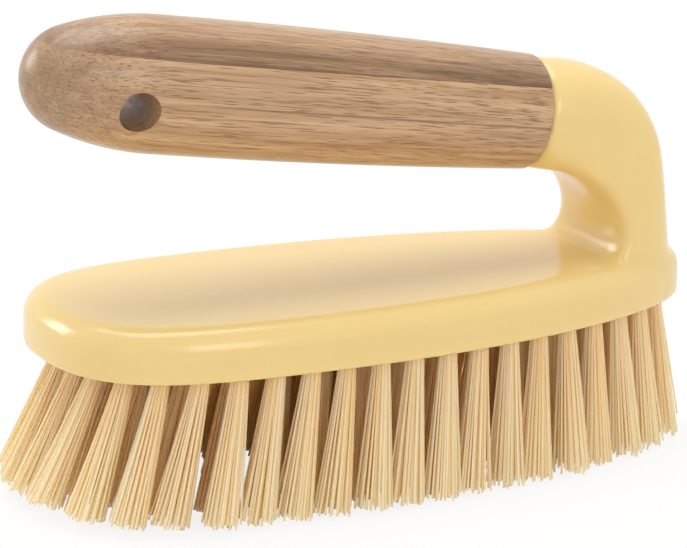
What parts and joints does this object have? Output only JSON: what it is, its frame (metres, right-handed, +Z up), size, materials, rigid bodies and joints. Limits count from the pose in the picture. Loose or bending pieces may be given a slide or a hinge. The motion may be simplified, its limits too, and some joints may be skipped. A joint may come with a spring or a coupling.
{
  "type": "scrub brush",
  "caption": "Scrub brush with a long oval block, a gooseneck that carries a turned bamboo handle over it, and rings of flared bristle tufts.",
  "frame": {"origin": "on the plane of the bristle tips, under the middle of the block's length and width", "axes": "+X along the block towards the gooseneck, +Y across it, +Z up from the tips to the handle"},
  "size_m": [0.1564, 0.0696, 0.1015],
  "materials": {
    "body_plastic": "moulded, pale butter yellow, soft gloss",
    "bamboo": "turned pressed bamboo, fine sanded and lightly sealed",
    "bristle": "straw coloured monofilament",
    "anchor_wire": "plain flat wire"
  },
  "bodies": {
    "root": {"brush_body": "body_plastic", "handle_top_ply": "bamboo", "handle_core_ply": "bamboo", "handle_bottom_ply": "bamboo", "outer_bristles": "bristle", "second_bristles": "bristle", "third_bristles": "bristle", "middle_bristles": "bristle", "outer_anchors": "anchor_wire", "second_anchors": "anchor_wire", "third_anchors": "anchor_wire", "middle_anchors": "anchor_wire"}
  },
  "joints": []
}
